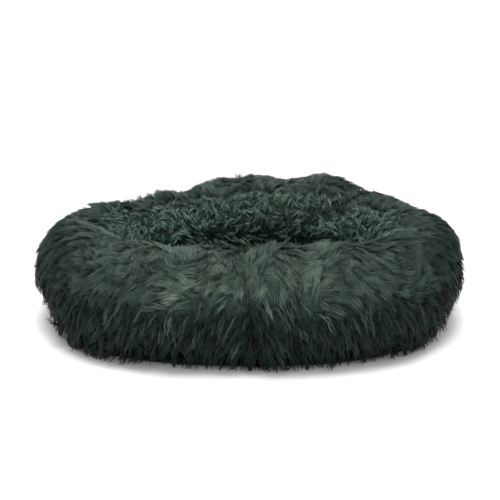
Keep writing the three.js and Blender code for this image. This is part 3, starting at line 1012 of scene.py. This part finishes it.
def grow_ring(pile):
    """The bolster's fur: walls combed down and away from the seams, a swirling top and a curly inside."""
    allowed = np.tile((DEGREES > OUTER_SEAM - 2) & (DEGREES < INNER_SEAM), (STATIONS, 1))
    spot, normal, place = scatter(RING, True, 5, allowed)
    turn = TAU * place[:, 0] / STATIONS
    degrees = (360 * (place[:, 1] + 0.5) / SECTIONS + 90) % 360 - 90
    zones = ring_zones(turn, degrees)
    close = smooth(-35, -55, degrees) + 0.8 * np.abs(np.cos(turn)) ** 6  # at the foot and round the ends
    spacing = sum(zones[zone] * ZONES[zone]["spacing"] for zone in zones) - 3.5 * close * zones["wall"]
    keep = poisson(spot, spacing * MM)
    spot, normal, turn, degrees = spot[keep], normal[keep], turn[keep], degrees[keep]
    zones = ring_zones(turn, degrees)
    r = np.random.default_rng(7)
    comb, ruffled = ring_combs(spot, normal, turn, degrees, zones, r)
    tone = ring_tones(spot, turn, degrees, zones, r)
    hang = ring_hang(turn, degrees, ruffled)
    grow(pile, FORM, spot, normal, comb, tone, zones, 40, hang)


def grow_pad(pile):
    """The pad's fur, curly as the bolster's inside, in eddies that spill out over the seam round it."""
    spot, normal, place = scatter(PAD, False, 8, np.ones(PAD.shape[:2]))
    keep = poisson(spot, ZONES["pad"]["spacing"] * MM * np.ones(len(spot)))
    spot, normal, place = spot[keep], normal[keep], place[keep]
    count = len(spot)
    r = np.random.default_rng(9)
    spin = 2.2 * np.sin(14 * spot[:, 0] + 1) + 1.9 * np.cos(17 * spot[:, 1]) + r.normal(0, 0.6, count)
    eddy = np.stack([np.cos(spin), np.sin(spin), 0 * spin], 1)
    at_edge = smooth(3.5, 1.2, place[:, 1])[:, None]
    comb = lying(eddy * (1 - at_edge) + unit(spot * LEVEL) * at_edge, normal)
    tone = 0.78 + r.normal(0, 0.08, count)
    weights = {"pad": np.ones(count)}
    grow(pile, PAD_FORM, spot, normal, comb, tone, weights, 90, sectors=["back", "front"])


FORM = grid_tree(RING, True)
PAD_FORM = grid_tree(PAD, False)


# ---- soft pieces


def ring_inset(depth):
    """The bolster's skin, taken in by a depth."""
    return RING - unit(RING - CENTRES[:, None, :]) * depth


def bolster_covers():
    """The backing cloth of the two lengths of fur, open underneath, with a real thickness."""
    columns = [j for j in np.argsort(DEGREES) if OUTER_SEAM - 4 < DEGREES[j] < INNER_SEAM + 4]
    outer_hem = hem_line("base_seam_binding", RING[:, columns[0]], True)
    inner_hem = hem_line("pad_seam_tape", RING[:, columns[-1]], True)
    skin = np.concatenate([outer_hem[:, None], RING[:, columns], inner_hem[:, None]], 1)
    for side, sign in (("left", -1), ("right", 1)):
        rows = [i for i in range(STATIONS) if sign * CENTRES[i, 0] > -2 * MM]
        start = next(k for k in range(len(rows)) if (rows[k] - 1) % STATIONS not in rows)
        part = skin[rows[start:] + rows[:start]]
        faces = grid_faces(*part.shape[:2], False, False)
        cover = bed_piece(f"bolster_fur_{side}", part, faces, BACKING, "fur", f"bolster_cover_{side}")
        thicken(cover, BACKING_THICK)


def bolster_insert():
    """The stuffed tube inside the bolster's cover: its casing, and the fibre in that."""
    faces = grid_faces(STATIONS, SECTIONS)
    skin = ring_inset(CASING_INSET)
    casing = bed_piece("bolster_insert_casing", skin, faces, CASING, "casing", "bolster_casing")
    thicken(casing, CASING_THICK)
    depth = FIBRE_INSET + 1.2 * MM * (1 + over_ring(waves(21, 14, 8, 40)))
    skin = ring_inset(depth[:, :, None])
    fibre = bed_piece("bolster_insert_fibre", skin, faces, FIBRE, "fibre", "bolster_fill")


def pad_dome(drop):
    """Points of the pad's upper surface, lowered and drawn in by drop, with its middle last."""
    grid = PAD - UP * drop - unit(PAD * LEVEL) * drop * 0.7
    return np.concatenate([grid.reshape(-1, 3), [grid[:, -1].mean(0)]])


def pad_body(drop, shrink, low):
    """Points of a pad: its dome, and its foot at a height."""
    return np.concatenate([pad_dome(drop), PAD_FEET * LEVEL * (1 - shrink) + UP * low])


def pad_pieces():
    """The pad's fur backing, its insert's casing in two parts, and the fibre."""
    cover = bed_piece("pad_fur", pad_dome(0), dome_faces(PAD_RINGS), BACKING, "fur", "pad_cover")
    thicken(cover, BACKING_THICK)
    foot_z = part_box("pad_casing_top")[0][2]
    points = pad_body(CASING_INSET, 0, foot_z + 0.2 * MM)
    top = bed_piece("pad_insert_casing_top", points, pad_faces(False), CASING, "casing", "pad_casing_top")
    thicken(top, CASING_THICK)
    points = pad_body(FIBRE_INSET, 0.02, foot_z + 1 * MM)
    fibre = bed_piece("pad_insert_fibre", points, pad_faces(True), FIBRE, "fibre", "pad_fill")
    pad_underside()


def pad_underside():
    """The flat cloth under the pad's insert, faintly creased."""
    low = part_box("pad_casing_bottom")[0][2]
    rings = 10
    shares = 1 - np.arange(rings) / rings
    lift = 0.3 * MM * (1 + waves(23, 8, 3, 9)(*np.broadcast_arrays(TURNS[:, None], 4 * shares)))
    disc = PAD_FEET[:, None, :] * LEVEL * shares[None, :, None]
    disc = disc + UP * (low + CASING_THICK + lift)[:, :, None]
    points = np.concatenate([disc.reshape(-1, 3), [disc[:, -1].mean(0)]])
    faces = dome_faces(rings)
    cloth = bed_piece("pad_insert_casing_bottom", points, faces, CASING, "casing", "pad_casing_bottom")
    thicken(cloth, CASING_THICK)


def band(name, node, pucker, gathers):
    """A sewn tape all round, measured off its CAD node, rounded and slightly puckered by its stitches."""
    low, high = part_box(node)
    tree = tree_of(node)
    middle = 0.5 * (low[2] + high[2])
    inner = tree.ray_cast(Vector((0, 0, middle)), turn_way(0))[3]
    half = np.array([0.5 * (reach_at(tree, 0, middle) - inner), 0.5 * (high[2] - low[2])])
    corners = 12
    angle = TAU * np.arange(corners) / corners
    section = np.stack([np.cos(angle), np.sin(angle)], 1)
    section = np.sign(section) * np.abs(section) ** 0.55 * half
    points = np.zeros((BAND_STATIONS, corners, 3))
    for i in range(BAND_STATIONS):
        turn = TAU * i / BAND_STATIONS
        radius = reach_at(tree, turn, middle) - half[0]
        tight = section * (1 - pucker * (1 + math.sin(gathers * turn)))
        points[i] = np.array(turn_way(turn)) * (radius + tight[:, :1]) + UP * (middle + tight[:, 1:])
    bed_piece(name, points, grid_faces(BAND_STATIONS, corners), BINDING, "binding", node)
    return tree, half, middle


def stitches(name, places, ways, length, half, slot):
    """A row of short stitches: stretched octahedra along ways."""
    side = unit(np.cross(ways, UP))
    tips = [ways * length / 2, side * half, UP * half, -side * half, -UP * half, -ways * length / 2]
    verts = np.stack([places + tip for tip in tips], 1).reshape(-1, 3)
    faces = []
    for first in range(0, len(verts), 6):
        for a in range(4):
            b = (a + 1) % 4
            faces.append((first, first + 1 + a, first + 1 + b))
            faces.append((first + 5, first + 1 + b, first + 1 + a))
    bed_piece(name, verts, faces, THREAD, slot)


def bindings():
    """The binding of the base seam with its row of stitches, and the tape in the ring seam of the pad."""
    band("pad_ring_tape", "pad_seam_tape", 0.05, 180)
    tree, half, middle = band("base_binding", "base_seam_binding", 0.04, 300)
    pitch, mean_radius = 3.6 * MM, 0.29
    count = int(TAU * mean_radius / pitch)
    turns = TAU * np.arange(count) / count
    ways = np.array([turn_way(turn) for turn in turns])
    radius = np.array([reach_at(tree, turn, middle) for turn in turns]) - 1.1 * MM
    places = ways * radius[:, None] + UP * (middle - half[1] + 0.1 * MM)
    along = unit(np.roll(places, -1, 0) - np.roll(places, 1, 0))
    stitches("base_binding_stitches", places, along, 2.5 * MM, 0.28 * MM, "binding")


# ---- underneath


def panel_points(panel, low, high, side):
    """A base panel's upper surface as a grid: columns along the bed, rows out from the zip."""
    columns, rows = 121, 30
    span = np.sin(np.linspace(-0.5 * math.pi, 0.5 * math.pi, columns))
    xs = 0.5 * (low[0] + high[0]) + 0.5 * (high[0] - low[0] - 2 * MM) * span
    shares = np.linspace(0, 1, rows) ** 1.8
    turned_edge = high[2] - 0.4 * MM
    levels = np.linspace(low[2] + 0.4 * MM, turned_edge, 9)
    way = Vector((0, side, 0))
    points = np.zeros((columns, rows, 3))
    for i, x in enumerate(xs):
        inner = panel.ray_cast(Vector((x, 0, turned_edge)), way)[3]
        hits = [panel.ray_cast(Vector((x, side * 0.5, z)), -way)[3] for z in levels]
        outer = 0.5 - min(hit for hit in hits if hit)
        for k, share in enumerate(shares):
            y = side * (inner + 0.05 * MM + (outer - inner - 0.1 * MM) * share)
            points[i, k] = (x, y, top_at(panel, x, y))
    return points


def base_cloth(name, node, side):
    """One half of the base cloth, measured off its panel, with the stitches of its hem."""
    panel = tree_of(node)
    low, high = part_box(node)
    points = panel_points(panel, low, high, side)
    faces = grid_faces(*points.shape[:2], False, False)
    if side < 0:
        faces = [face[::-1] for face in faces]
    obj = bed_piece(name, points, faces, BASE_CLOTH, "base_cloth", node)
    thickness = 0.8 * MM
    thicken(obj, thickness)
    y = side * 9.0 * MM
    xs = np.arange(-0.19, 0.19, 3.2 * MM)  # along the zip
    hem = np.array([(x, y, top_at(panel, x, y) - thickness) for x in xs])
    ways = np.tile(ALONG_X, (len(hem), 1))
    stitches(f"{name}_hem_stitches", hem, ways, 2.2 * MM, 0.25 * MM, "base_cloth")
    return panel


def dots(name, panel, side):
    """Non-slip dots printed on the flat of one half of the base."""
    pitch, radius, height = 15 * MM, 1.7 * MM, 0.25 * MM
    row_step = 0.866  # in pitches, so that each dot is as far from all its neighbours
    columns = np.arange(-24, 25)
    sides = 8
    angle = TAU * np.arange(sides) / sides
    verts, faces = [], []
    for row in range(2, 20):
        y = side * row * pitch * row_step
        for x in columns * pitch + 0.5 * pitch * (row % 2):
            reach = reach_at(panel, math.atan2(y, x), 0.4 * MM)
            if math.hypot(x, y) + 3 * radius >= reach:
                continue
            start = len(verts)
            for wide, depth in ((radius, 0.0), (radius * 0.75, height * 0.7)):
                verts += [(x + wide * math.cos(a), y + wide * math.sin(a), -depth) for a in angle]
            verts.append((x, y, -height))
            for a in range(sides):
                b = (a + 1) % sides
                faces.append((start + a, start + sides + a, start + sides + b, start + b))
                faces.append((start + sides + a, start + 2 * sides, start + sides + b))
            faces.append([start + a for a in range(sides)])
    bed_piece(name, verts, faces, RUBBER, "base_cloth")


def underside():
    """The base cloth in two halves, each with its hem and non-slip dots."""
    for label, node, side in (("front", "base_panel_front", -1), ("rear", "base_panel_rear", 1)):
        dots(f"base_dots_{label}", base_cloth(f"base_cloth_{label}", node, side), side)


# ---- the zip

WIRE = 0.28 * MM  # half the thickness of a coil's monofilament


def wound_wire(low, high):
    """A flattened helix of square monofilament within a box: its points, its faces and its middle line."""
    pitch, steps, sides = 1.2 * MM, 8, 4
    turns = int((high[0] - low[0] - 2 * WIRE) / pitch)
    phase = TAU * np.arange(turns * steps + 1) / steps
    half = 0.5 * (high - low) - WIRE
    middle = 0.5 * (high + low)
    x = middle[0] + (phase / TAU - turns / 2) * pitch
    line = np.stack([x, middle[1] + half[1] * np.cos(phase), middle[2] + half[2] * np.sin(phase)], 1)
    inward = unit((line - middle) * [0, 1, 1])
    across = np.cross(unit(np.gradient(line, axis=0)), inward)
    angle = TAU * np.arange(sides) / sides + 0.25 * math.pi
    tube = line[:, None, :] + WIRE * (inward[:, None, :] * np.cos(angle)[None, :, None]
                                      + across[:, None, :] * np.sin(angle)[None, :, None])
    faces = grid_faces(len(line), sides, False, True)
    faces.append(list(range(sides)))
    faces.append([(len(line) - 1) * sides + k for k in reversed(range(sides))])
    return tube.reshape(-1, 3), faces, line


def coil_cord(low, high, ends, first):
    """The cord that a coil is wound round: its points, and its faces with vertices numbered from first."""
    ring = np.array([(1, 0.6), (0.8, 1), (-0.8, 1), (-1, 0.6), (-1, -0.6), (-0.8, -1), (0.8, -1), (1, -0.6)])
    corners = len(ring)
    cord = np.zeros((2, corners, 3))
    cord[:, :, 0] = ends[:, None]
    cord[:, :, 1:] = (0.5 * (high + low))[1:] + ring * ((0.5 * (high - low) - WIRE)[1:] - WIRE)
    near = [first + a for a in range(corners)]
    far = [first + corners + a for a in range(corners)]
    faces = [(near[a], near[(a + 1) % corners], far[(a + 1) % corners], far[a]) for a in range(corners)]
    return cord.reshape(-1, 3), faces + [near[::-1], far]


def coil(name, node, side):
    """One side of the closed zip's coil, wound round its cord and reaching in to the other side."""
    low, high = (np.array(corner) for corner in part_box(node))
    gap = 0.2 * MM
    if side > 0:
        low[1] = gap
    else:
        high[1] = -gap
    tube, faces, line = wound_wire(low, high)
    cord, cord_faces = coil_cord(low, high, line[[0, -1], 0], len(tube))
    bed_piece(name, np.concatenate([tube, cord]), faces + cord_faces, NYLON, "nylon", node)


def eased(name, node, body, width):
    """A cast zinc piece: a copy of its CAD node with its edges eased."""
    obj = NODES[node].copy()
    obj.data = NODES[node].data.copy()
    obj.name = name
    for key in list(obj.keys()):
        del obj[key]
    linked(obj)
    obj.data.materials.clear()
    obj.data.materials.append(ZINC)
    modify(obj, "WELD", merge_threshold=0.01 * MM)
    modify(obj, "BEVEL", width=width, segments=2, limit_method="ANGLE", angle_limit=math.radians(40))
    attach(obj, body)
    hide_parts(node)


def bar_tacks():
    """Dense stitches that close the tapes just beyond the zip's stops."""
    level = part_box("zip_tape_front")[0][2] - 0.05 * MM
    count = 13
    across = np.tile([0, 1.0, 0], (count, 1))
    ends = (("closed", "zip_top_stop_front", 1, 1), ("open", "zip_bottom_stop", 0, -1))
    for label, stop, end, way in ends:
        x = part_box(stop)[end][0] + way * MM * (0.9 + 0.42 * np.arange(count))
        places = np.stack([x, 0.15 * MM * (-1.0) ** np.arange(count), np.full(count, level)], 1)
        stitches(f"zip_bar_tack_{label}", places, across, 7.5 * MM, 0.3 * MM, "zip_tape")


def paint(node, material):
    """Gives a CAD node a finished material."""
    NODES[node].data.materials.clear()
    NODES[node].data.materials.append(material)


def zip_pieces():
    """The zip's coils, and finishes for its tapes, stops, slider and pull."""
    for label, side in (("front", -1), ("rear", 1)):
        coil(f"zip_teeth_{label}", f"zip_coil_{label}", side)
        paint(f"zip_tape_{label}", TAPE)
        paint(f"zip_top_stop_{label}", ZINC)
    paint("zip_bottom_stop", ZINC)
    bar_tacks()
    eased("zip_slider_cast", "zip_slider", "slider", 0.15 * MM)
    eased("zip_pull_cast", "zip_pull", "pull", 0.2 * MM)


def care_label():
    """A blank satin label lying out from the base seam, curling a little at its free end."""
    mesh = NODES["care_label"].data
    corners = np.unique(np.round([tuple(v.co) for v in mesh.vertices], 5), axis=0)
    base = corners[np.abs(corners[:, 2] - corners[:, 2].min()) < 0.1 * MM]
    near = base[np.argsort(np.linalg.norm(base[:, :2], axis=1))]
    sewn, free = near[:2], near[2:]
    if (sewn[1] - sewn[0]) @ (free[1] - free[0]) < 0:
        free = free[::-1]
    length, width = 16, 8
    u = np.linspace(0, 1, length)[:, None, None]
    v = np.linspace(0, 1, width)[None, :, None]
    points = (sewn[0] * (1 - v) + sewn[1] * v) * (1 - u) + (free[0] * (1 - v) + free[1] * v) * u
    curl = 2.5 * MM * u ** 3 + 0.5 * MM * np.sin(5 * v + 2 * u) * u + 0.6 * MM
    points = points + UP * curl
    faces = grid_faces(length, width, False, False)
    obj = bed_piece("care_label_satin", points, faces, SATIN, "label", "care_label")
    thicken(obj, 0.3 * MM)


# ---- stage


def camera():
    """Twenty degrees above level, two metres in front."""
    data = bpy.data.cameras.new("camera")
    obj = linked(bpy.data.objects.new("camera", data))
    rise = math.radians(20)
    target = Vector((0, 0, 0.104))
    distance = 2.0
    obj.location = target + distance * Vector((0, -math.cos(rise), math.sin(rise)))
    obj.rotation_euler = (math.radians(90) - rise, 0, 0)
    data.sensor_width = 36
    data.lens = 82.6
    bpy.context.scene.camera = obj


def floor():
    """A wide pale floor."""
    size = 30.0
    corners = [(-size, -size, 0), (size, -size, 0), (size, size, 0), (-size, size, 0)]
    obj = mesh_object("floor", corners, [(0, 1, 2, 3)])
    s = Shader("floor_white")
    grain = s.noise(s.place(), 3.0)
    color = s.ramp(grain, (0.0, (0.92, 0.92, 0.92)), (1.0, (0.95, 0.95, 0.95)))
    obj.data.materials.append(s.set(color=color, rough=0.9, specular=0.1))


def lights():
    """Even white studio light, with more of it from overhead."""
    world = bpy.data.worlds.new("studio")
    world.use_nodes = True
    background = world.node_tree.nodes["Background"]
    background.inputs[0].default_value = (1, 1, 1, 1)
    background.inputs[1].default_value = 0.9
    bpy.context.scene.world = world
    data = bpy.data.lights.new("overhead", "SUN")
    data.energy = 2.5
    data.angle = math.radians(30)
    light = linked(bpy.data.objects.new("overhead", data))
    light.rotation_euler = (math.radians(-4), 0, 0)
    bpy.context.scene.view_settings.view_transform = "Standard"


# ---- the bed

bolster_covers()
bolster_insert()
pad_pieces()
bindings()
underside()
zip_pieces()
care_label()
fur = Pile()
grow_ring(fur)
grow_pad(fur)
fur.build()

camera()
floor()
lights()
